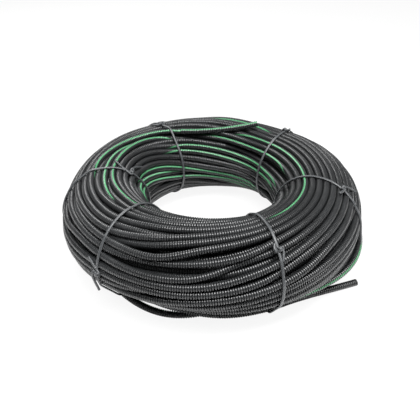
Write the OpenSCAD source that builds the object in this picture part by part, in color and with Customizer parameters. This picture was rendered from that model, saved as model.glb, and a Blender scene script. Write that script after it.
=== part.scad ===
// Coil of corrugated conduit, tied in six places and lying flat.
// The origin is on the floor under the coil's axis, with +Z up along that axis.

/* [Conduit] */
// Outside diameter of the conduit, over its ribs
conduit_od = 7.1; // [6.4:0.1:8]
// Bore of the conduit
conduit_id = 4.7; // [3:0.1:5]
// Wall left between the bore and the bottom of each groove
conduit_wall = 0.3; // [0.2:0.05:0.5]
// Distance from one rib to the next
rib_pitch = 2.3; // [1.8:0.1:3.5]
// Length of a rib's flat crest
rib_crest = 1.1; // [0.6:0.1:1.2]
// Length of the slope on each side of a rib
rib_flank = 0.25; // [0.1:0.05:0.3]

/* [Coil] */
// Diameter of the coil over its outermost turns
coil_od = 332; // [300:2:380]
// Width of the wound bundle, from the eye to the outside
bundle_w = 94; // [80:1:110]
// Height of the wound bundle
bundle_h = 91; // [80:1:110]
// Straight stretch in the middle of the bundle's narrower sides
bundle_flat = 2; // [1:1:16]
// Distance between neighbouring turns, as a share of the conduit's diameter
turn_spacing = 0.96; // [0.9:0.01:0.98]

/* [Slack turns] */
// How far the slack turn on the floor stands out past its place in the bundle
floor_turn_bow = 9; // [4:0.5:10]
// Direction of the slack turn on the floor, counted from +X
floor_turn_at = -105; // [-110:1:-94]
// How far the slack turn on the side stands out past its place in the bundle
side_turn_bow = 9; // [5:0.5:11]
// Direction of the slack turn on the side, counted from +X
side_turn_at = -34; // [-40:1:-33]
// How far the lower front of the bundle is cut back above the slack turn on the floor
front_cut_depth = 6.5; // [4:0.5:9]
// Direction of the middle of that cut, counted from +X
front_cut_at = -110; // [-114:1:-106]
// Direction of the middle of the two gaps where the front lacks a turn, counted from +X
front_gaps_at = -93; // [-98:1:-88]

/* [Free ends] */
// Length of the front free end
front_end_length = 88.5; // [60:0.5:110]
// Length of the back free end
back_end_length = 100; // [60:0.5:110]
// Length of the ribbed stretch drawn at each cut end
ribbed_length = 29.9; // [27:0.1:40]
// Depth of the open bore at each cut end
bore_depth = 25; // [12:1:26]

/* [Ties] */
// Diameter of the plastic-coated tie wire
tie_d = 2.9; // [1.5:0.1:4]
// Gap between a tie and the turns that it holds
tie_gap = 0.3; // [0.2:0.05:0.6]
// Diameter of a tie's twisted knot
knot_d = 6.4; // [5.8:0.1:9]
// Length of a tie's twisted knot
knot_length = 10; // [9.2:0.2:14]
// Length of a tie's cut end where it is left short
cut_end_length = 9; // [7:0.5:12]

/* [Hidden] */
$fn = 64;

conduit_r = conduit_od / 2;
tie_r = tie_d / 2;
knot_r = knot_d / 2;

// The bundle's section is a rounded rectangle, and it rests on the ties that pass under it.
bundle_corner_r = (min(bundle_w, bundle_h) - bundle_flat) / 2;
flat_w = bundle_w / 2 - bundle_corner_r;
flat_h = bundle_h / 2 - bundle_corner_r;
bundle_mid_r = (coil_od - bundle_w) / 2;
bundle_mid_z = tie_d + tie_gap + bundle_h / 2;

// The centres of the surface turns lie evenly on the section's outline, a conduit radius inside.
centre_corner_r = bundle_corner_r - conduit_r;
centre_quarter = flat_w + flat_h + PI / 2 * centre_corner_r;
surface_turns = floor(4 * centre_quarter / (conduit_od * turn_spacing));
turn_step = 4 * centre_quarter / surface_turns;

// Point at distance s round one quarter of the outline, from the middle of its outer side
// to the middle of its top.
function quarter_point(s) =
    let (bend = PI / 2 * centre_corner_r,
         angle = (s - flat_h) / centre_corner_r * 180 / PI)
    s < flat_h ? [flat_w + centre_corner_r, s]
    : s < flat_h + bend ? [flat_w + centre_corner_r * cos(angle), flat_h + centre_corner_r * sin(angle)]
    : [flat_w + flat_h + bend - s, flat_h + centre_corner_r];

// Centre of the surface turn at distance s round the whole outline, as [radius, height].
function turn_centre(s) =
    let (q = floor(s / centre_quarter),
         u = s - q * centre_quarter,
         p = quarter_point(q % 2 == 0 ? u : centre_quarter - u))
    [bundle_mid_r + (q == 0 || q == 3 ? 1 : -1) * p[0],
     bundle_mid_z + (q < 2 ? 1 : -1) * p[1]];

turn_centres = [for (i = [0:surface_turns - 1]) turn_centre(i * turn_step)];

// The turned outline follows each turn with three tangent faces, and dips between two turns
// as far as their circles do.
function heading_of(step) = atan2(-step[0], step[1]);
dip = sqrt(pow(conduit_r, 2) - pow(turn_step / 2, 2));
crest_half = 30;
turned_outline = [for (i = [0:surface_turns - 1])
    let (last = turn_centres[(i + surface_turns - 1) % surface_turns],
         this = turn_centres[i],
         next = turn_centres[(i + 1) % surface_turns],
         out = heading_of(next - last),
         between = heading_of(next - this))
    for (point = [for (side = [-crest_half, crest_half])
                      this + conduit_r / cos(crest_half) * [cos(out + side), sin(out + side)],
                  (this + next) / 2 + dip * [cos(between), sin(between)]])
        point];

// Point of an outline of corner radius r, in the direction of a section angle.
function at_section(angle, r) =
    [bundle_mid_r + flat_w * sign(cos(angle)) + r * cos(angle),
     bundle_mid_z + flat_h * sign(sin(angle)) + r * sin(angle)];

// Section angle of the turn that each slack stretch belongs to, and the arc it bows along.
floor_turn_angle = -72;
side_turn_angle = -28;
slack_r = 8 * conduit_od;
slack_half = 50;
floor_turn_tilt = 20;
side_turn_tilt = 15;
side_turn_roll = 8;

// Section angle of the way that the lower front is cut back from.
front_cut_angle = -43;
// Each gap in the front: section angle, radius, depth below the surface turns' centres, and
// how it climbs towards larger azimuths.
front_gaps = [[56, 1.2 * conduit_r, 0.7 * conduit_r, 4],
              [36, 1.4 * conduit_r, 0.7 * conduit_r, 4]];

// Where each free end leaves its turn, and the way it points.
front_turn_angle = -72;
front_root_at = -60;
front_heading = 17.6;
back_turn_angle = 122;
back_root_at = 116;
back_heading = 6.3;
back_rise = 8.9;
front_root = at_section(front_turn_angle, centre_corner_r);
back_root = at_section(back_turn_angle, centre_corner_r);
// The front end comes down to the floor at its tip.
front_drop = asin((front_root[1] - conduit_r) / front_end_length);

// Azimuth and knot angle of each tie, then how many cut end lengths long each of its knot's
// two ends is, with its swing. A swing of 0 runs along the coil to larger azimuths, and one
// of 90 runs round the section.
tie_places = [
    [122, 90, [0.9, -80], [0.9, -20]],
    [184, 124, [3.3, 202], [3.1, 158]],
    [228, 5, [2.2, 140], [2.1, -83]],
    [294, 54, [1.3, -110], [1, 64]],
    [345, 62, [2.2, -42], [1, 150]],
    [44, 80, [1, 205], [0.9, -55]]];
end_lift = 10;

// An arc of conduit about +Z, reaching half degrees each way from +X.
module conduit_arc(radius, half) {
    rotate([0, 0, -half])
        rotate_extrude(angle = 2 * half)
            translate([radius, 0])
                circle(d = conduit_od);
}

// A stretch that bows out of the bundle, reaching furthest at its middle.
module slack_turn(azimuth, reach, z, tilt, roll) {
    rotate([0, 0, azimuth])
        translate([reach, 0, z])
            rotate([roll, tilt, 0])
                translate([-slack_r, 0, 0])
                    conduit_arc(slack_r, slack_half);
}

// The space beyond a slanting plane that cuts the lower front of the bundle back.
module front_cut() {
    reach = flat_w * cos(front_cut_angle) + flat_h * abs(sin(front_cut_angle)) + bundle_corner_r
            - front_cut_depth;
    rotate([0, 0, front_cut_at])
        translate([bundle_mid_r, 0, bundle_mid_z])
            rotate([0, -front_cut_angle, 0])
                translate([reach, -coil_od / 4, -bundle_h])
                    cube([bundle_w / 2, coil_od / 2, 2 * bundle_h]);
}

// The straight space where a turn is missing. It runs out of the bundle at both its ends.
module front_gap(gap) {
    place = at_section(gap[0], centre_corner_r - gap[2]);
    rotate([0, 0, front_gaps_at])
        translate([place[0], 0, place[1]])
            rotate([90 + gap[3], 0, 0])
                cylinder(r = gap[1], h = coil_od / 2, center = true);
}

// A straight ribbed length along +Z, bored at its tip.
module ribbed_end(length) {
    ribs = floor(length / rib_pitch);
    groove_r = conduit_id / 2 + conduit_wall;
    groove = rib_pitch - rib_crest - 2 * rib_flank;
    wave = [for (i = [0:ribs - 1], p = [[groove_r, 0], [groove_r, groove],
                                        [conduit_r, groove + rib_flank],
                                        [conduit_r, groove + rib_flank + rib_crest]])
            [p[0], p[1] + i * rib_pitch]];
    top = ribs * rib_pitch;
    difference() {
        rotate_extrude()
            polygon(concat([[0, 0]], wave, [[groove_r, top], [0, top]]));
        translate([0, 0, top - bore_depth])
            cylinder(d = conduit_id, h = bore_depth + 1);
    }
}

// A free end that leaves its turn at a round bend and runs straight to its tip. Its ribs
// are drawn on the stretch near the tip, where it stands clear of the bundle.
module free_end(root, azimuth, heading, rise, length) {
    rotate([0, 0, azimuth])
        translate([root[0], 0, root[1]])
            rotate([0, 0, heading - azimuth]) {
                sphere(d = conduit_od);
                rotate([0, 90 - rise, 0]) {
                    cylinder(d = conduit_od, h = length - ribbed_length);
                    translate([0, 0, length - ribbed_length])
                        ribbed_end(ribbed_length);
                }
            }
}

module conduit() {
    color([0.05, 0.05, 0.055]) {
        // Surface turns round a core that stands for the turns inside.
        difference() {
            rotate_extrude($fn = 128)
                polygon(turned_outline);
            front_cut();
            for (gap = front_gaps)
                front_gap(gap);
        }
        slack_turn(floor_turn_at, at_section(floor_turn_angle, centre_corner_r)[0] + floor_turn_bow,
                   conduit_r, floor_turn_tilt, 0);
        slack_turn(side_turn_at, at_section(side_turn_angle, centre_corner_r)[0] + side_turn_bow,
                   at_section(side_turn_angle, centre_corner_r)[1], side_turn_tilt, side_turn_roll);
        free_end(front_root, front_root_at, front_heading, -front_drop, front_end_length);
        free_end(back_root, back_root_at, back_heading, back_rise, back_end_length);
    }
}

// A quarter of a tie's loop and the straight stretch that follows it, in the X-Z plane.
module tie_quarter(corner_x, corner_z, start, run) {
    loop_r = bundle_corner_r + tie_gap + tie_r;
    translate([corner_x, 0, corner_z])
        rotate([90, 0, 0])
            rotate([0, 0, start]) {
                rotate_extrude(angle = 90)
                    translate([loop_r, 0])
                        circle(d = tie_d, $fn = 32);
                rotate([0, 0, 90])
                    translate([loop_r, 0, 0])
                        rotate([-90, 0, 0])
                            cylinder(d = tie_d, h = run, $fn = 32);
            }
}

// The twisted knot, with its two cut ends, standing on the loop at a section angle.
module tie_knot(angle, ends) {
    place = at_section(angle, bundle_corner_r + tie_gap + knot_r);
    barrel = knot_length - knot_d;
    translate([place[0], 0, place[1]])
        // Local +X points out of the bundle, +Y along the coil and +Z round the section.
        rotate([0, -angle, 0]) {
            rotate([90, 0, 0])
                cylinder(d = knot_d, h = barrel, center = true, $fn = 32);
            for (side = [-1, 1])
                translate([0, side * barrel / 2, 0])
                    sphere(d = knot_d, $fn = 32);
            for (end = ends)
                rotate([end[1], 0, 0])
                    rotate([0, 0, -end_lift])
                        rotate([-90, 0, 0])
                            cylinder(d = tie_d, h = end[0] * cut_end_length, $fn = 32);
        }
}

module tie(place) {
    color([0.16, 0.17, 0.18])
        rotate([0, 0, place[0]]) {
            tie_quarter(bundle_mid_r + flat_w, bundle_mid_z + flat_h, 0, 2 * flat_w);
            tie_quarter(bundle_mid_r - flat_w, bundle_mid_z + flat_h, 90, 2 * flat_h);
            tie_quarter(bundle_mid_r - flat_w, bundle_mid_z - flat_h, 180, 2 * flat_w);
            tie_quarter(bundle_mid_r + flat_w, bundle_mid_z - flat_h, 270, 2 * flat_h);
            tie_knot(place[1], [place[2], place[3]]);
        }
}

module tie_back_left() tie(tie_places[0]);
module tie_left() tie(tie_places[1]);
module tie_front_left() tie(tie_places[2]);
module tie_front_right() tie(tie_places[3]);
module tie_right() tie(tie_places[4]);
module tie_back_right() tie(tie_places[5]);

conduit();
tie_back_left();
tie_left();
tie_front_left();
tie_front_right();
tie_right();
tie_back_right();
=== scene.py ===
import math

import bpy
import numpy as np
from mathutils import Matrix, Vector


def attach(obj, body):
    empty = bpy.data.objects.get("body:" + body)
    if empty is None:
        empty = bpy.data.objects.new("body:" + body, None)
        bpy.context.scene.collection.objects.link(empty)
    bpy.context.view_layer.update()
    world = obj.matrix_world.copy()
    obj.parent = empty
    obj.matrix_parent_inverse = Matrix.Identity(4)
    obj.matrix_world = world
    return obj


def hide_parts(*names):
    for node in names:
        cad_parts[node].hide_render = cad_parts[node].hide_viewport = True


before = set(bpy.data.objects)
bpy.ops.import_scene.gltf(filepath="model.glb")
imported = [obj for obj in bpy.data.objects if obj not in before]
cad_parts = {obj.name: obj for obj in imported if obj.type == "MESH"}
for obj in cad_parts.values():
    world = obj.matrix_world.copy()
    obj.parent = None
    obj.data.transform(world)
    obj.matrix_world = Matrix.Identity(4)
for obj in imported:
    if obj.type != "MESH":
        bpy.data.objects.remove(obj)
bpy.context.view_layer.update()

# Camera. It stands in front of the coil and looks down on it, and the coil's axis stays
# upright in its view.
camera_place = Vector((0, -0.46228, 0.35027))
camera_forward = Vector((-0.00439, 0.82511, -0.56495))
camera_right = Vector((0.999986, 0.005317, 0))
camera_up = camera_right.cross(camera_forward)
camera_data = bpy.data.cameras.new("camera")
camera_data.sensor_width = 36
camera_data.lens = 41
camera_data.clip_start = 0.01
camera = bpy.data.objects.new("camera", camera_data)
camera.matrix_world = Matrix.Translation(camera_place) @ Matrix(
    (camera_right, camera_up, -camera_forward)
).transposed().to_4x4()
bpy.context.scene.collection.objects.link(camera)
bpy.context.scene.camera = camera


# Winding. The coil is one length of corrugated plastic conduit, wound about 134 times and
# pulled together by its ties. Each turn is followed as a disc through section planes round
# the coil, where discs push each other apart and the bundle's outline keeps them in.

# Lengths are in millimetres until a mesh is made. A section is measured outwards and
# upwards from the bundle's middle, and its angles are in degrees, from outwards on.
mm = 0.001
conduit_r = 3.55
mid_r, mid_z = 119.0, 48.7
flats = np.array([2.5, 1.0])
corner_r = 40.95
outer_shoulder, other_shoulders = 1.0, 0.5
turns, planes = 134, 72
plane_step = 360 / planes
first_plane_at = -60.0
plane_at = first_plane_at - plane_step * np.arange(planes)
ties_at = {"tie_back_left": 122.4, "tie_left": 184.0, "tie_front_left": 228.0,
           "tie_front_right": 294.1, "tie_right": 345.3, "tie_back_right": 43.8}
dice = np.random.default_rng(7)


def turned_by(angle, centre):
    """Signed difference of two directions in degrees, from -180 to 180."""
    return (angle - centre + 180) % 360 - 180


def plateau(angle, low, high, fade):
    """1 from low to high degrees, falling to 0 over fade degrees as half a cosine wave."""
    away = np.abs(turned_by(angle, (low + high) / 2)) - (high - low) / 2
    return 0.5 + 0.5 * np.cos(np.pi * np.clip(away / fade, 0, 1))


def smoothed(path, reach):
    """The path's points averaged along it with Gaussian weights; reach is in planes."""
    half = int(np.ceil(3 * reach))
    weights = np.exp(-0.5 * (np.arange(-half, half + 1) / reach) ** 2)
    weights /= weights.sum()
    padded = np.concatenate([np.repeat(path[:1], half, 0), path, np.repeat(path[-1:], half, 0)])
    return np.stack([np.convolve(padded[:, c], weights, "valid") for c in range(path.shape[1])], 1)


def pushed_apart(discs, spacing, crossing=0):
    """Half the overlap of every two discs of one plane, along the line between them.

    Where two discs are less than crossing apart, the later turn goes outwards over the earlier
    one by the distance that is short, and the earlier one inwards."""
    x, y = discs[..., 0].T.astype(np.float32), discs[..., 1].T.astype(np.float32)
    dx, dy = x[:, :, None] - x[:, None, :], y[:, :, None] - y[:, None, :]
    gap = np.sqrt(dx * dx + dy * dy) + 1e-6
    push = np.where(gap < spacing, (spacing / gap - 1) * 0.5, 0)
    push[:, np.arange(turns), np.arange(turns)] = 0
    order = np.sign(np.arange(turns)[:, None] - np.arange(turns)[None])
    over = (np.maximum(crossing - gap, 0) * order).sum(2).T[..., None]
    outwards = discs / np.maximum(np.linalg.norm(discs, axis=-1), 1)[..., None]
    return np.stack([(push * dx).sum(2).T, (push * dy).sum(2).T], -1) + over * outwards


def kept_in(discs, slack):
    """Discs outside the rounded outline, grown by slack, go straight back to it.

    The outline falls short by a squared sine of twice the section angle, most of all at the
    outer shoulder."""
    over = np.maximum(np.abs(discs) - flats, 0)
    far = np.linalg.norm(over, axis=-1)
    out = over / np.maximum(far, 1e-6)[..., None] * np.sign(discs)
    slope = (2 * over[..., 0] * over[..., 1] / np.maximum(far, 1e-6) ** 2) ** 2
    shoulder = np.where((discs > 0).all(-1), outer_shoulder, other_shoulders) * slope
    return discs - np.maximum(far - corner_r - slack + shoulder, 0)[..., None] * out


# Slots in columns that run from the bottom on the outside, where the winding starts, to the
# top on the inside, and the path through them with a gradual shift from slot to slot.
widest_reach, column_step = 45, 0.866
for slot_pitch in np.arange(8.0, 6.8, -0.01):
    column_x = np.arange(-widest_reach, widest_reach, slot_pitch * column_step)
    column_x = (column_x - column_x.mean())[::-1]
    column_x = column_x[np.abs(column_x) < flats[0] + corner_r]
    halves = flats[1] + np.sqrt(corner_r**2 - np.maximum(np.abs(column_x) - flats[0], 0) ** 2)
    rows = [(np.arange(int(2 * half // slot_pitch) + 1) - (2 * half // slot_pitch) / 2) * slot_pitch
            for half in halves]
    if sum(map(len, rows)) >= turns:
        break
slots = np.array([(x, y) for count, x in enumerate(column_x)
                  for y in (rows[count][::-1] if count % 2 else rows[count])])[:turns]
first_slot_at = math.radians(-72)
slots = slots @ np.array([[math.cos(first_slot_at), math.sin(first_slot_at)],
                          [-math.sin(first_slot_at), math.cos(first_slot_at)]])
along = np.arange(turns * planes) / planes
lap = along.astype(int)
shift_at = 0.5 + 0.25 * np.sin(0.9 * np.arange(turns)) + dice.normal(0, 0.12, turns)
shift_at = np.clip(shift_at, 0.2, 0.8)
shift_length = 0.4
shifted = np.clip((along - lap - shift_at[lap]) / shift_length + 0.5, 0, 1)
shifted = (shifted**2 * (3 - 2 * shifted))[:, None]
path = slots[lap] * (1 - shifted) + slots[np.minimum(lap + 1, turns - 1)] * shifted

# Every turn wanders a little, in short waves and in long ones, and then finds its room.
short_wave, long_wave = (12, 0.9), (40, 2.2)
for reach, size in (short_wave, long_wave):
    wander = smoothed(dice.normal(0, 1, path.shape), reach)
    path += wander / wander.std() * size
discs = path.reshape(turns, planes, 2)
loose_spacing, loose_rounds = 7.9, 110
for _ in range(loose_rounds):
    push = smoothed(pushed_apart(discs, loose_spacing).reshape(-1, 2), 1.0).reshape(discs.shape)
    discs = kept_in(discs + 0.6 * push, 0)

# The whole bundle is twisted back and forth as it goes round.
twist = np.radians(25 + 36 * np.cos(np.radians(plane_at - 25)))
discs = np.stack([discs[..., 0] * np.cos(twist) - discs[..., 1] * np.sin(twist),
                  discs[..., 0] * np.sin(twist) + discs[..., 1] * np.cos(twist)], -1)

# Between the ties the bundle is a little looser, and it is drawn in at the left and at the
# back right. It bulges low on the left, and its lower front side is cut back.
tie_gap = np.abs(turned_by(plane_at[:, None], np.array(list(ties_at.values())))).min(1)
slack = 1.4 * (1 - np.exp(-((tie_gap / 14) ** 2)))
slack -= 1.2 * plateau(plane_at, 165, 205, 30) + 3.0 * plateau(plane_at, 50, 66, 16)
left_bulge = 2.6 * plateau(plane_at, 194, 214, 26)
bulge_angle, bulge_spread = -12, 20
undercut = plateau(plane_at, -120, -99, 18)
undercut_normal = np.array([0.728, -0.686])
undercut_reach = 44.5 - 7.1 * undercut

# Recesses where the outer layer lacks a turn: [from, to, fade, section angle at from,
# section angle at to, width as a share of a turn, depth].
recesses = [
    (-98, -88, 34, 54, 58, 0.95, 2),
    (-103, -84, 34, 33, 39, 1.0, 2.5),
    (200, 212, 26, 21, 18, 0.95, 2),
    (-60, -44, 24, 25, 25, 0.8, 2),
]


def held_off(discs):
    """Discs move away from the middle of each recess, up to its width."""
    for low, high, fade, angle_low, angle_high, width, depth in recesses:
        open_ = plateau(plane_at, low, high, fade)
        share = (turned_by(plane_at, low) / (high - low)).clip(-0.6, 1.6)
        angle = np.radians(angle_low + (angle_high - angle_low) * share)
        ray = np.stack([np.cos(angle), np.sin(angle)], -1)
        middle = flats * np.sign(ray) + (corner_r - depth) * ray
        step = discs - middle
        gap = np.linalg.norm(step, axis=-1)
        wanted = conduit_r * (1 + (2 * width - 1) * open_) * (open_ > 0.02)
        discs = discs + (np.maximum(wanted - gap, 0) / np.maximum(gap, 1e-6))[..., None] * step
    return discs


def under_cut_back(discs):
    """Discs stay inside a slanting plane below the front of the bundle."""
    over = np.maximum(discs @ undercut_normal - undercut_reach, 0)
    return discs - over[..., None] * undercut_normal


# Slack stretches that lie on a route of their own: [turn, azimuths, radii, heights]. The first
# two lie low at the front, the third is the last turn on top, and the last two bow out at
# the right, one just inside the other. The turns of those two are picked below.
slack_routes = [
    (0, [-58, -66, -74, -80, -86, -92, -98, -104, -110, -118, -126],
     [143.5, 140.3, 138.6, 138, 137.8, 139.6, 140.2, 141.4, 143, 144, 143],
     [5.6, 6.8, 4.4, 3.7, 4.2, 7.4, 11.2, 14, 17, 19, 19]),
    (1, [-82, -88, -93, -97, -101, -105, -109, -113, -118, -124, -129, -133, -139, -146],
     [124, 128.4, 132.6, 137, 140.6, 142.8, 144, 144, 143, 141, 141, 141.5, 142, 141],
     [6.5, 4.2, 3.6, 3.6, 3.6, 3.6, 3.6, 3.6, 3.6, 3.6, 4.6, 6.8, 6, 8]),
    (turns - 1, [228, 214, 200, 190, 182, 170, 160, 152, 144, 136, 128, 119, 110],
     [132, 132, 132, 131.6, 130.6, 127.4, 123.5, 119.5, 115, 110, 104.5, 99.5, 96],
     [88.2, 88.6, 89, 89.4, 89.9, 90.8, 91.6, 92.3, 93, 93.7, 94.3, 94.6, 94.2]),
    (None, [-10, -17, -22, -26, -30, -34, -40, -47, -54],
     [164.5, 168.5, 170.4, 171, 170.2, 168, 161.5, 155, 152],
     [38, 35, 32.4, 30, 27.4, 24.6, 20, 16.5, 15.5]),
    (None, [-10, -17, -22, -26, -30, -34, -40],
     [157.8, 162, 164, 164.8, 164.1, 161.8, 155.2],
     [38.5, 35.6, 33.1, 31.2, 28.8, 26.4, 22.6]),
]


def on_routes(discs):
    """The slack stretches go to their routes, and come back to the bundle at both ends."""
    discs = discs.copy()
    for turn, azimuths, radii, heights in slack_routes:
        back = -turned_by(np.array(azimuths, float), azimuths[0])
        here = -turned_by(plane_at, azimuths[0])
        r = np.interp(here, back, radii) - mid_r
        z = np.interp(here, back, heights) - mid_z
        fade_in = 1 if turn == 0 else 12
        fade_out = 1 if turn == turns - 1 else 14
        held = np.clip((here + 2.5) / fade_in, 0, 1) * np.clip((back[-1] - here) / fade_out, 0, 1)
        held = (held * (here > -3))[:, None]
        route = np.stack([r, z], -1)
        discs[turn] = discs[turn] * (1 - held) + route * held
    return discs


# The turns that bow out are the ones nearest to a radius and a height at the bow's middle.
bow_at = -34
bow_plane = int(round((first_plane_at - bow_at) % 360 / plane_step)) % planes
taken = []
for route, near_r, near_z in ((3, 160, 27), (4, 158, 33)):
    away = np.linalg.norm(discs[:, bow_plane] - [near_r - mid_r, near_z - mid_z], axis=-1)
    away[taken] = np.inf
    taken.append(int(away.argmin()))
    slack_routes[route] = (taken[-1], *slack_routes[route][1:])
bow_turn = taken[0]

# The bundle settles from loose to tight: [spacing of the turns, least distance of two turns
# that cross, rounds, reach of the smoothing].
for spacing, crossing, rounds, reach in ((7.7, 0, 160, 2.0), (7.4, 4.5, 100, 1.5),
                                         (7.2, 4.5, 40, 1.0)):
    for step in range(rounds):
        push = pushed_apart(discs, spacing, crossing)
        push = smoothed(push.reshape(-1, 2), reach).reshape(discs.shape)
        from_bulge = np.degrees(np.arctan2(discs[..., 1], discs[..., 0])) - bulge_angle
        bulge = left_bulge * np.exp(-((from_bulge / bulge_spread) ** 2))
        discs = kept_in(held_off(discs + 0.8 * push), slack + bulge)
        discs = on_routes(under_cut_back(discs))
        discs[..., 1] = np.maximum(discs[..., 1], conduit_r - mid_z)
        if step % 8 == 7:
            discs = smoothed(discs.reshape(-1, 2), 1.1).reshape(discs.shape)
discs = smoothed(discs.reshape(-1, 2), 0.7).reshape(discs.shape)
discs[..., 1] = np.maximum(discs[..., 1], conduit_r - mid_z)

# Centreline of the whole conduit, from the front cut end through all the turns to the back
# one. Between section planes it runs as a cubic B-spline, in four steps a plane.
line_steps = 4
last_plane_at = 116
last_point = (turns - 1) * planes + int(round((first_plane_at - last_plane_at) % 360 / plane_step))
coil_path = discs.reshape(-1, 2)[: last_point + 1]
front_tip, front_tip_way = np.array([151.4, -89.5, 3.55]), np.array([-0.93, -0.365, 0.0])
back_tip, back_tip_way = np.array([56.4, 95.95, 99.9]), np.array([0.975, 0.10, 0.20])


def spline(points, at):
    """Cubic B-spline through the neighbourhood of each point, at fractional positions."""
    base = np.clip(at.astype(int), 0, len(points) - 2)
    f = (at - base)[:, None]
    pick = lambda k: points[np.clip(base + k, 0, len(points) - 1)]
    return ((1 - f) ** 3 * pick(-1) + (3 * f**3 - 6 * f**2 + 4) * pick(0)
            + (-3 * f**3 + 3 * f**2 + 3 * f + 1) * pick(1) + f**3 * pick(2)) / 6


def bend(start, start_way, end, end_way, count):
    """Cubic Bezier curve between two points that leaves and arrives along two directions."""
    t = np.linspace(0, 1, count)[:, None]
    reach = np.linalg.norm(end - start) / 3
    a, b = start + start_way * reach, end - end_way * reach
    return (1 - t) ** 3 * start + 3 * t * (1 - t) ** 2 * a + 3 * t**2 * (1 - t) * b + t**3 * end


at = np.arange(0, last_point + 0.01, 1 / line_steps)
section = spline(coil_path, at)
around = np.radians(first_plane_at - plane_step * at)
radius, height = section[:, 0] + mid_r, section[:, 1] + mid_z
coil_line = np.stack([radius * np.cos(around), radius * np.sin(around), height], 1)
coil_out = np.stack([section[:, 0] * np.cos(around), section[:, 0] * np.sin(around),
                     section[:, 1]], 1)
way = lambda v: v / np.linalg.norm(v)
front_tail = bend(front_tip, way(front_tip_way), coil_line[0],
                  way(coil_line[3] - coil_line[0]), 60)[:-1]
back_tail = bend(coil_line[-1], way(coil_line[-1] - coil_line[-4]), back_tip,
                 way(back_tip_way), 60)[1:]
line = np.concatenate([front_tail, coil_line, back_tail])
up = np.array([0, 0, 1.0])
out = np.concatenate([np.tile(up, (len(front_tail), 1)), coil_out,
                      np.tile(up, (len(back_tail), 1))])
length_to = np.concatenate([[0], np.cumsum(np.linalg.norm(np.diff(line, axis=0), axis=1))])
coil_starts, coil_ends = length_to[len(front_tail)], length_to[-len(back_tail) - 1]

# Which stretches can be seen: a disc is open where some way out of the bundle is clear from
# its middle, and ajar where one is clear only from a side of it. A stretch is shown round
# discs that are open two ways, and glimpsed round the others that are open or ajar.
looks = np.radians(np.arange(0, 360, 12))
side_lane = 2.6
opened, ajar = np.zeros((2, turns, planes))
for plane in range(planes):
    spot = discs[:, plane]
    step = spot[None] - spot[:, None]
    for look in looks:
        ray = np.array([math.cos(look), math.sin(look)])
        ahead = step @ ray > 1
        aside = step @ np.array([-ray[1], ray[0]])
        opened[:, plane] += ~(ahead & (np.abs(aside) < conduit_r)).any(1)
        for lane in (-side_lane, side_lane):
            ajar[:, plane] += ~(ahead & (np.abs(aside - lane) < conduit_r)).any(1)
opened = opened.reshape(-1)[: last_point + 1]
ajar = (opened + ajar.reshape(-1)[: last_point + 1]) > 0
shown = smoothed(1.0 * (opened > 1)[:, None], 0.8)[:, 0] > 0.12
shown[: planes // 4] = True
glimpsed = (smoothed(1.0 * ajar[:, None], 2.5)[:, 0] > 0.05) & ~shown


# Conduit plastic. Black polyamide with a semi-gloss skin from the corrugating moulds and one
# mint green line printed along it.
def conduit_plastic():
    """v of the piece's UV is 0.5 on the green line; noise in metres varies gloss and tone."""
    material = bpy.data.materials.new("conduit_plastic")
    material.use_nodes = True
    nodes, links = material.node_tree.nodes, material.node_tree.links
    shader = nodes["Principled BSDF"]
    where = nodes.new("ShaderNodeTexCoord")
    uv = nodes.new("ShaderNodeUVMap")
    uv.uv_map = "along_and_round"
    parts = nodes.new("ShaderNodeSeparateXYZ")
    links.new(uv.outputs["UV"], parts.inputs[0])

    def maths(operation, a, b=None, c=None):
        node = nodes.new("ShaderNodeMath")
        node.operation = operation
        for socket, value in zip(node.inputs, (a, b, c)):
            if value is not None:
                if isinstance(value, (int, float)):
                    socket.default_value = value
                else:
                    links.new(value, socket)
        return node.outputs[0]

    def noise(scale, detail):
        node = nodes.new("ShaderNodeTexNoise")
        node.inputs["Scale"].default_value = scale
        node.inputs["Detail"].default_value = detail
        links.new(where.outputs["Object"], node.inputs["Vector"])
        return node.outputs["Fac"]

    def ramp(value, low, high, out_low, out_high):
        node = nodes.new("ShaderNodeMapRange")
        links.new(value, node.inputs["Value"])
        for name, number in (("From Min", low), ("From Max", high),
                             ("To Min", out_low), ("To Max", out_high)):
            node.inputs[name].default_value = number
        return node.outputs["Result"]

    from_line = maths("ABSOLUTE", maths("SUBTRACT", maths("FRACT", parts.outputs["Y"]), 0.5))
    wobble = maths("MULTIPLY", noise(60, 1), 0.006)
    line = ramp(maths("ADD", from_line, wobble), 0.038, 0.056, 1, 0)
    tone = nodes.new("ShaderNodeMix")
    tone.data_type = "RGBA"
    tone.inputs["A"].default_value = (0.009, 0.0095, 0.010, 1)
    tone.inputs["B"].default_value = (0.018, 0.019, 0.020, 1)
    links.new(ramp(noise(14, 3), 0.35, 0.7, 0, 1), tone.inputs["Factor"])
    striped = nodes.new("ShaderNodeMix")
    striped.data_type = "RGBA"
    striped.inputs["B"].default_value = (0.06, 0.215, 0.10, 1)
    links.new(tone.outputs["Result"], striped.inputs["A"])
    links.new(line, striped.inputs["Factor"])
    links.new(striped.outputs["Result"], shader.inputs["Base Color"])
    links.new(ramp(noise(220, 2), 0.3, 0.7, 0.30, 0.40), shader.inputs["Roughness"])
    shader.inputs["IOR"].default_value = 1.52
    bump = nodes.new("ShaderNodeBump")
    bump.inputs["Strength"].default_value = 0.08
    bump.inputs["Distance"].default_value = 0.0002
    links.new(noise(900, 3), bump.inputs["Height"])
    links.new(bump.outputs["Normal"], shader.inputs["Normal"])
    return material


conduit_look = conduit_plastic()

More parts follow.
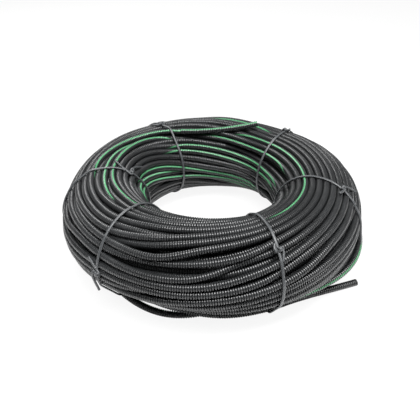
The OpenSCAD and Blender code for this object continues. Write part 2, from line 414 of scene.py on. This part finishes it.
# Green line. It looks out of the bundle on some stretches, and into it elsewhere. Each
# stretch is on the turn nearest to these section angles: [azimuths, section angles, turn of
# the line].
green_stretches = [
    ([224, 203, 185, 170, 157, 144, 130], [104, 95, 94, 98, 101, 116, 124], 5),
    ([203, 192, 184, 171, 160, 144, 130], [87, 84, 84, 88, 94, 100, 112], 5),
    ([118, 101, 76, 46, 19], [133, 145, 157, 169, 171], -30),
    ([117, 97, 73, 42, 17], [129, 141, 154, 162, 165], -25),
    ([105, 85, 63, 43, 21], [125, 137, 145, 151, 152], -20),
    ([60, 39, 15, -7, -23, -40, -54], [108, 120, 123, 119, 113, 103, 95], 0),
    ([166, 143, 120, 97, 74, 51], [144, 159, 169, 185, 191, 197], -40),
    ([189, 167, 146, 125, 103], [143, 154, 165, 176, 187], -40),
    ([193, 168, 130, 93, 55], [147, 157, 172, 187, 202], -45),
    ([196, 177, 140, 104, 67], [150, 158, 176, 193, 210], -45),
    ([110, 85, 60], [80, 75, 72], 30),
]
section_angle = np.degrees(np.arctan2(discs[..., 1], discs[..., 0])).reshape(-1)
bundle_reach, surface_depth = 47, 5
depth = bundle_reach - np.linalg.norm(discs, axis=-1).reshape(-1)
line_turned = np.full(last_point + 1, 180.0)
for azimuths, angles, turned in green_stretches:
    start = int(round((first_plane_at - azimuths[0]) % 360 / plane_step))
    steps = np.arange(int(round((azimuths[0] - azimuths[-1]) / plane_step)) + 1)
    wanted = np.interp(steps * plane_step, azimuths[0] - np.array(azimuths), angles)
    points = np.arange(turns - 1)[:, None] * planes + start + steps
    points = points[points[:, -1] <= last_point]
    miss = np.abs(turned_by(section_angle[points], wanted))
    miss = miss + 3 * np.maximum(depth[points] - surface_depth, 0)
    miss += 60 * (line_turned[points] < 180)
    best = points[miss.mean(1).argmin()]
    line_turned[max(best[0] - 2, 0): best[-1] + 3] = turned

# The line also shows on top of the turn that bows out, and on the last stretch, from where
# it goes on along the back free end.
bow_point = bow_turn * planes + bow_plane
line_turned[bow_point - 6: bow_point + 8] = 62
line_turned[-15:] = 25
line_turned = smoothed(line_turned[:, None], 1.6)[:, 0]

# Ribbed turns. The corrugating moulds leave a rib and a groove every 2.3 mm. Each rib is
# three rings: the two edges of its crest and the bottom of the groove behind it. Stretches
# that are only glimpsed have two rings a rib and fewer sides.
rib_pitch = 2.3
rib_rings = np.array([0, 0.46, 0.73])
rib_sizes = np.array([3.55, 3.55, 2.62])
rib_angles = np.radians([0, 38, 76, 114, 158, 202, 246, 284, 322])
most_triangles = 175_000
line_ahead = np.gradient(line, axis=0)
coil_at = np.arange(last_point + 1) * line_steps + len(front_tail)


def mesh_piece(name, points, quads, quad_uv, triangles, material, sides=0):
    """A smooth mesh from point, quad and triangle arrays; quad_uv has a pair per corner.

    sides is a ring's number of points where rings are sharp edges, and 0 where they aren't."""
    mesh = bpy.data.meshes.new(name)
    mesh.vertices.add(len(points))
    mesh.vertices.foreach_set("co", (points * mm).astype(np.float32).ravel())
    corners = np.concatenate([quads.ravel(), triangles.ravel()]).astype(np.int32)
    totals = np.concatenate([np.full(len(quads), 4), np.full(len(triangles), 3)]).astype(np.int32)
    mesh.loops.add(len(corners))
    mesh.loops.foreach_set("vertex_index", corners)
    mesh.polygons.add(len(totals))
    mesh.polygons.foreach_set("loop_start", (np.cumsum(totals) - totals).astype(np.int32))
    mesh.polygons.foreach_set("loop_total", totals)
    mesh.polygons.foreach_set("use_smooth", np.ones(len(totals), bool))
    uv = np.zeros((len(corners), 2), np.float32)
    uv[: 4 * len(quads)] = quad_uv.reshape(-1, 2)
    mesh.uv_layers.new(name="along_and_round").data.foreach_set("uv", uv.ravel())
    mesh.update(calc_edges=True)
    if sides:
        ends = np.empty(2 * len(mesh.edges), np.int32)
        mesh.edges.foreach_get("vertices", ends)
        ring_edge = ends[::2] // sides == ends[1::2] // sides
        sharp = mesh.attributes.new("sharp_edge", "BOOLEAN", "EDGE")
        sharp.data.foreach_set("value", ring_edge)
    mesh.validate()
    mesh.materials.append(material)
    piece = bpy.data.objects.new(name, mesh)
    bpy.context.scene.collection.objects.link(piece)
    return piece


def tube(name, centre, ahead, outward, size, angles, material, first=None, u=None, turned=0.0,
         closed=False, thin=1.0, ribbed=False):
    """Rings of given size and angles round a centreline, joined by quads and capped.

    A ring is centre + size * (thin * cos(angle) * normal + sin(angle) * side), where normal is
    outward made square to ahead, and side is ahead x normal. first marks the rings that
    start a stretch of their own. v is the angle less turned, in whole turns."""
    count, sides = len(centre), len(angles)
    first = np.arange(count) == 0 if first is None else first
    u = np.zeros(count) if u is None else u
    ahead = ahead / np.linalg.norm(ahead, axis=1)[:, None]
    normal = outward - (outward * ahead).sum(1)[:, None] * ahead
    normal /= np.linalg.norm(normal, axis=1)[:, None]
    side = np.cross(ahead, normal)
    size = np.broadcast_to(size, count)[:, None, None]
    points = centre[:, None] + size * (thin * np.cos(angles)[None, :, None] * normal[:, None]
                                       + np.sin(angles)[None, :, None] * side[:, None])
    ring = np.arange(count) if closed else np.where(~first[1:])[0]
    after = (ring + 1) % count
    k = np.arange(sides)
    k1 = (k + 1) % sides
    quads = np.stack([ring[:, None] * sides + k, ring[:, None] * sides + k1,
                      after[:, None] * sides + k1, after[:, None] * sides + k], -1).reshape(-1, 4)
    v0 = angles / (2 * np.pi)
    v1 = np.where(k1 == 0, v0[k1] + 1, v0[k1])
    turned = np.broadcast_to(turned, count) / 360
    v = np.stack([v0[None] - turned[ring, None], v1[None] - turned[ring, None],
                  v1[None] - turned[after, None], v0[None] - turned[after, None]], -1) + 0.5
    u4 = np.stack([u[ring], u[ring], u[after], u[after]], -1)[:, None].repeat(sides, 1)
    uv = np.stack([u4, v], -1).reshape(-1, 4, 2)
    if closed:
        caps = np.zeros((0, 3), int)
    else:
        fan = np.arange(1, sides - 1)
        starts = np.where(first)[0][:, None] * sides
        ends = np.append(np.where(first)[0][1:] - 1, count - 1)[:, None] * sides
        begin = np.stack([starts + 0 * fan, starts + fan + 1, starts + fan], -1)
        finish = np.stack([ends + 0 * fan, ends + fan, ends + fan + 1], -1)
        caps = np.concatenate([begin.reshape(-1, 3), finish.reshape(-1, 3)])
    return mesh_piece(name, points.reshape(-1, 3), quads, uv, caps, material,
                      sides if ribbed else 0)


def at_length(values, lengths):
    """Columns of values, given along the whole line, read at these lengths."""
    return np.stack([np.interp(lengths, length_to, column) for column in values.T], 1)


def line_turn(lengths):
    """How far the green line is turned from facing out of the bundle, in degrees."""
    return np.interp(lengths, length_to[coil_at], line_turned)


def widened(stations):
    """Marked stations and the ones next to them along the conduit."""
    return stations | np.append(stations[1:], False) | np.append(False, stations[:-1])


for label, stations, rings, ring_sizes, angles in (
        ("conduit_turns", shown, rib_rings, rib_sizes, rib_angles),
        ("conduit_deep_turns", widened(glimpsed), np.array([0, 0.6]), np.array([3.5, 2.6]),
         np.radians(np.arange(0, 360, 60)))):
    edges = np.diff(np.concatenate([[0], stations.astype(int), [0]]))
    stretch_from, stretch_to = np.where(edges == 1)[0], np.where(edges == -1)[0] - 1
    rib_from = np.floor(length_to[coil_at[stretch_from]] / rib_pitch).astype(int)
    rib_to = np.ceil(length_to[coil_at[stretch_to]] / rib_pitch).astype(int)
    keep = rib_to > rib_from + 1
    rib_from, rib_to = rib_from[keep], rib_to[keep]
    most_ribs = most_triangles // (len(rings) * len(angles) * 2)
    batch, batches = [], []
    for start, stop in zip(rib_from, rib_to):
        while stop > start:
            room = most_ribs - sum(b - a for a, b in batch)
            cut = min(stop, start + room)
            batch.append((start, cut))
            start = cut
            if sum(b - a for a, b in batch) >= most_ribs:
                batches.append(batch)
                batch = []
    batches.append(batch)
    for number, batch in enumerate(batches, 1):
        lengths, sizes, first = [], [], []
        for start, stop in batch:
            ribs = np.arange(start, stop)[:, None] + rings[None]
            lengths.append(np.append(ribs.ravel(), stop) * rib_pitch)
            sizes.append(np.append(np.tile(ring_sizes, stop - start), ring_sizes[0]))
            first.append(np.arange(len(sizes[-1])) == 0)
        lengths, sizes, first = map(np.concatenate, (lengths, sizes, first))
        piece = tube(f"{label}_{number}", at_length(line, lengths), at_length(line_ahead, lengths),
                     at_length(out, lengths), sizes, angles, conduit_look, first,
                     lengths / rib_pitch, line_turn(lengths), ribbed=True)
        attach(piece, "root")
        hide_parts("conduit")

# Inner turns. The same conduit goes on inside the bundle, where next to nothing of it can be
# seen, so it is a plain tube there with a ring at every second section plane.
hidden = widened(~shown & ~glimpsed)
points_in = np.where(hidden)[0]
starts = np.concatenate([[True], np.diff(points_in) > 1])
ends = np.concatenate([starts[1:], [True]])
kept = starts | ends | (points_in % 2 == 0)
points_in, first = points_in[kept], starts[kept]
inner_at = coil_at[points_in]
inner_r = 3.3
inner = tube("conduit_inner_turns", line[inner_at], line_ahead[inner_at],
             np.tile(up, (len(inner_at), 1)), inner_r, np.radians(np.arange(0, 360, 60)),
             conduit_look, first, length_to[inner_at] / rib_pitch, 180.0)
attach(inner, "root")
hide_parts("conduit")

# Free ends. The same conduit leaves the bundle at the front and at the back. It is cut off
# square and is open, so its bore and wall show.
bore_r, bore_length = 2.35, 25
end_angles = np.radians(np.arange(0, 360, 15))
for name, tip_length, inner_length in (("conduit_front_end", 0.0, coil_starts),
                                       ("conduit_back_end", length_to[-1], coil_ends)):
    to_tip = np.sign(tip_length - inner_length)
    ribs = int(abs(tip_length - inner_length) / rib_pitch) + 2
    back = ((np.arange(ribs)[:, None] + rib_rings[None]).ravel()) * rib_pitch
    sizes = np.tile(rib_sizes, ribs)
    lengths = np.concatenate([(tip_length - to_tip * back)[::-1],
                              tip_length - to_tip * np.array([0, bore_length])])
    sizes = np.concatenate([sizes[::-1], [bore_r, bore_r]])
    ahead = at_length(line_ahead, lengths) * to_tip
    piece = tube(name, at_length(line, lengths), ahead, at_length(out, lengths), sizes,
                 end_angles, conduit_look, None, lengths / rib_pitch,
                 line_turn(lengths) * to_tip, ribbed=True)
    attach(piece, "root")
    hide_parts("conduit")


# Ties. Six lengths of plastic-coated wire go once round the bundle and are pressed flat
# against it. Their ends are twisted together into a knot and cut off.
tie_r, tie_flatness = 1.5, 0.62


def tie_coating():
    """Dark grey plastic with a dull skin; noise in metres varies tone and gloss."""
    material = bpy.data.materials.new("tie_coating")
    material.use_nodes = True
    nodes, links = material.node_tree.nodes, material.node_tree.links
    shader = nodes["Principled BSDF"]
    where = nodes.new("ShaderNodeTexCoord")
    grain = nodes.new("ShaderNodeTexNoise")
    grain.inputs["Scale"].default_value = 300
    grain.inputs["Detail"].default_value = 3
    links.new(where.outputs["Object"], grain.inputs["Vector"])
    tone = nodes.new("ShaderNodeMix")
    tone.data_type = "RGBA"
    tone.inputs["A"].default_value = (0.026, 0.028, 0.030, 1)
    tone.inputs["B"].default_value = (0.050, 0.053, 0.056, 1)
    links.new(grain.outputs["Fac"], tone.inputs["Factor"])
    links.new(tone.outputs["Result"], shader.inputs["Base Color"])
    shader.inputs["Roughness"].default_value = 0.42
    bump = nodes.new("ShaderNodeBump")
    bump.inputs["Strength"].default_value = 0.2
    bump.inputs["Distance"].default_value = 0.0003
    links.new(grain.outputs["Fac"], bump.inputs["Height"])
    links.new(bump.outputs["Normal"], shader.inputs["Normal"])
    return material


tie_look = tie_coating()

# Slant of each tie in degrees of azimuth at its outer side, section angle of its knot, then
# length and swing of the knot's two cut ends. A swing of 0 runs along the coil to larger
# azimuths, and one of 90 runs round the section.
tie_shapes = {
    "tie_back_left": (2.3, 88, ((9, -75), (10, -20))),
    "tie_left": (5.7, 129, ((27, 236), (29, 148))),
    "tie_front_left": (2.4, 3, ((23, 156), (22, -72))),
    "tie_front_right": (-1.6, 52, ((13, -114), (8, 60))),
    "tie_right": (-7.3, 62, ((20, -62), (9, 150))),
    "tie_back_right": (3.4, 78, ((9, 200), (9, -50))),
}


def tie_outline(azimuth, count=220):
    """Closed outline that wraps the discs of one plane a wire's radius away.

    In each direction it is the furthest disc's centre plus the conduit's radius and half the
    flattened wire. The turns that bow out of the bundle are left out."""
    slack_reach = 55
    at = (first_plane_at - azimuth) % 360 / plane_step
    low = int(at)
    share = at - low
    after = np.roll(discs[:, 0], -1, 0) if low == planes - 1 else discs[:, low + 1]
    spots = discs[:, low] * (1 - share) + after * share
    spots = spots[np.linalg.norm(spots, axis=1) < slack_reach]
    look = np.linspace(0, 2 * np.pi, 721)[:-1]
    ray = np.stack([np.cos(look), np.sin(look)], -1)
    furthest = spots[(spots @ ray.T).argmax(0)]
    loop = furthest + (conduit_r + tie_flatness * tie_r) * ray
    loop = np.concatenate([loop, loop[:1]])
    run = np.concatenate([[0], np.cumsum(np.linalg.norm(np.diff(loop, axis=0), axis=1))])
    even = np.linspace(0, run[-1], count + 1)[:-1]
    return np.stack([np.interp(even, run, loop[:, c]) for c in range(2)], 1)


def placed(section, azimuth):
    """Points in the row frame from section points (outwards, up) and azimuths in degrees."""
    r, a = section[:, 0] + mid_r, np.radians(azimuth)
    return np.stack([r * np.cos(a), r * np.sin(a), section[:, 1] + mid_z], 1)


wire_angles = np.radians(np.arange(0, 360, 36))
loop_reach = 48.7
loop_softening = np.hanning(9)[1:-1] / np.hanning(9).sum()
knot_r, knot_length, knot_twists, knot_lift = 1.35, 7.5, 1.4, 1.4
bend_length = 2.6
for name, azimuth in ties_at.items():
    slant, knot_angle, cut_ends = tie_shapes[name]
    loop = tie_outline(azimuth)
    round_to = np.concatenate([loop[-6:], loop, loop[:6]])
    loop = np.stack([np.convolve(column, loop_softening, "same")
                     for column in round_to.T], 1)[6:-6]
    loop_line = placed(loop, azimuth + slant * loop[:, 0] / loop_reach)
    ahead = np.roll(loop_line, -1, 0) - np.roll(loop_line, 1, 0)
    middle = placed(np.zeros((1, 2)), azimuth)[0]
    wires = [tube(name + "_loop", loop_line, ahead, loop_line - middle, tie_r, wire_angles,
                  tie_look, closed=True, thin=tie_flatness)]
    angle = math.radians(knot_angle)
    ray = np.array([math.cos(angle), math.sin(angle)])
    seat = loop[(loop @ ray / np.linalg.norm(loop, axis=1)).argmax()]
    knot_azimuth = azimuth + slant * seat[0] / loop_reach
    spin = math.radians(knot_azimuth)
    radial = np.array([math.cos(spin), math.sin(spin), 0])
    outward = ray[0] * radial + ray[1] * up
    along_coil = np.array([-math.sin(spin), math.cos(spin), 0])
    round_section = np.cross(outward, along_coil)
    knot = placed(seat[None], knot_azimuth)[0] + knot_lift * outward

    # Two strands wind round each other along the coil, and then each bends off its own way.
    for strand, (end_length, swing) in enumerate(cut_ends):
        t = np.linspace(0, 1, 40)
        phase = 2 * np.pi * knot_twists * t + strand * np.pi
        t = t[:, None]
        heading = (math.cos(math.radians(swing)) * along_coil
                   + math.sin(math.radians(swing)) * round_section)
        side = 1 if strand == 0 else -1
        turn_off = np.cos(phase)[:, None] * outward + np.sin(phase)[:, None] * round_section
        twist_line = knot + (t - 0.5) * knot_length * along_coil * side + knot_r * turn_off
        gone = np.linspace(0, 1, 16)[1:, None] * end_length
        sag = 0.012 * gone**2 * np.exp(-gone / 30)
        lead = bend_length * (1 - np.exp(-gone / bend_length)) * side * along_coil
        end_line = twist_line[-1] + lead + gone * heading - sag * outward
        strand_line = np.concatenate([twist_line, end_line])
        strand_line = np.concatenate([strand_line[:36], smoothed(strand_line[34:], 1.2)[2:]])
        ahead = np.gradient(strand_line, axis=0)
        reference = np.cross(ahead, radial * 0.3 + up * 0.5 + along_coil * 0.81)
        wires.append(tube(f"{name}_end_{strand + 1}", strand_line, ahead, reference, tie_r * 0.8,
                          wire_angles, tie_look))
    for wire in wires:
        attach(wire, "root")
        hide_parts(name)


# Floor. A plain pale board under the coil. The camera sees it near white, apart from the
# coil's shadow.
floor_mesh = bpy.data.meshes.new("floor")
floor_mesh.from_pydata([(-4, -4, 0), (4, -4, 0), (4, 4, 0), (-4, 4, 0)], [], [(0, 1, 2, 3)])
floor = bpy.data.objects.new("floor", floor_mesh)
bpy.context.scene.collection.objects.link(floor)
floor_look = bpy.data.materials.new("floor")
floor_look.use_nodes = True
floor_nodes, floor_links = floor_look.node_tree.nodes, floor_look.node_tree.links
floor_shader = floor_nodes["Principled BSDF"]
floor_shader.inputs["Base Color"].default_value = (0.82, 0.82, 0.82, 1)
floor_shader.inputs["Roughness"].default_value = 0.9
floor_glow = floor_nodes.new("ShaderNodeEmission")
floor_glow.inputs["Color"].default_value = (1, 1, 1, 1)
floor_seen = floor_nodes.new("ShaderNodeMixShader")
floor_seen.inputs["Fac"].default_value = 0.90
floor_links.new(floor_shader.outputs["BSDF"], floor_seen.inputs[1])
floor_links.new(floor_glow.outputs["Emission"], floor_seen.inputs[2])
floor_rays = floor_nodes.new("ShaderNodeLightPath")
floor_to = floor_nodes.new("ShaderNodeMath")
floor_to.operation = "MAXIMUM"
floor_links.new(floor_rays.outputs["Is Camera Ray"], floor_to.inputs[0])
floor_links.new(floor_rays.outputs["Is Transmission Ray"], floor_to.inputs[1])
floor_pick = floor_nodes.new("ShaderNodeMixShader")
floor_links.new(floor_to.outputs[0], floor_pick.inputs["Fac"])
floor_links.new(floor_shader.outputs["BSDF"], floor_pick.inputs[1])
floor_links.new(floor_seen.outputs["Shader"], floor_pick.inputs[2])
floor_links.new(floor_pick.outputs["Shader"], floor_nodes["Material Output"].inputs["Surface"])
floor_mesh.materials.append(floor_look)

# Light. A white sky all round that gives the object little light, a wide soft lamp above the
# front, a smaller one at the right and one behind.
world = bpy.data.worlds.new("studio")
bpy.context.scene.world = world
world.use_nodes = True
world_nodes, world_links = world.node_tree.nodes, world.node_tree.links
ambient = world_nodes["Background"]
ambient.inputs["Color"].default_value = (1, 1, 1, 1)
ambient.inputs["Strength"].default_value = 0.16
backdrop = world_nodes.new("ShaderNodeBackground")
backdrop.inputs["Color"].default_value = (1, 1, 1, 1)
backdrop.inputs["Strength"].default_value = 1.0
rays = world_nodes.new("ShaderNodeLightPath")
choose = world_nodes.new("ShaderNodeMixShader")
world_links.new(rays.outputs["Is Camera Ray"], choose.inputs["Fac"])
world_links.new(ambient.outputs["Background"], choose.inputs[1])
world_links.new(backdrop.outputs["Background"], choose.inputs[2])
world_links.new(choose.outputs["Shader"], world_nodes["World Output"].inputs["Surface"])
for lamp_name, place, width, depth, watts in (("top_lamp", (0.12, -0.3, 1.2), 1.6, 0.4, 46),
                                              ("side_lamp", (0.93, -0.49, 0.94), 0.5, 0.5, 6.5),
                                              ("back_lamp", (-0.5, 1.0, 0.9), 0.6, 0.6, 12)):
    lamp_data = bpy.data.lights.new(lamp_name, "AREA")
    lamp_data.shape = "RECTANGLE"
    lamp_data.size = width
    lamp_data.size_y = depth
    lamp_data.energy = watts
    lamp = bpy.data.objects.new(lamp_name, lamp_data)
    lamp.location = place
    lamp.rotation_euler = (Vector((0, 0, 0.05)) - Vector(place)).to_track_quat("-Z", "Y").to_euler()
    bpy.context.scene.collection.objects.link(lamp)
bpy.context.scene.view_settings.view_transform = "Standard"
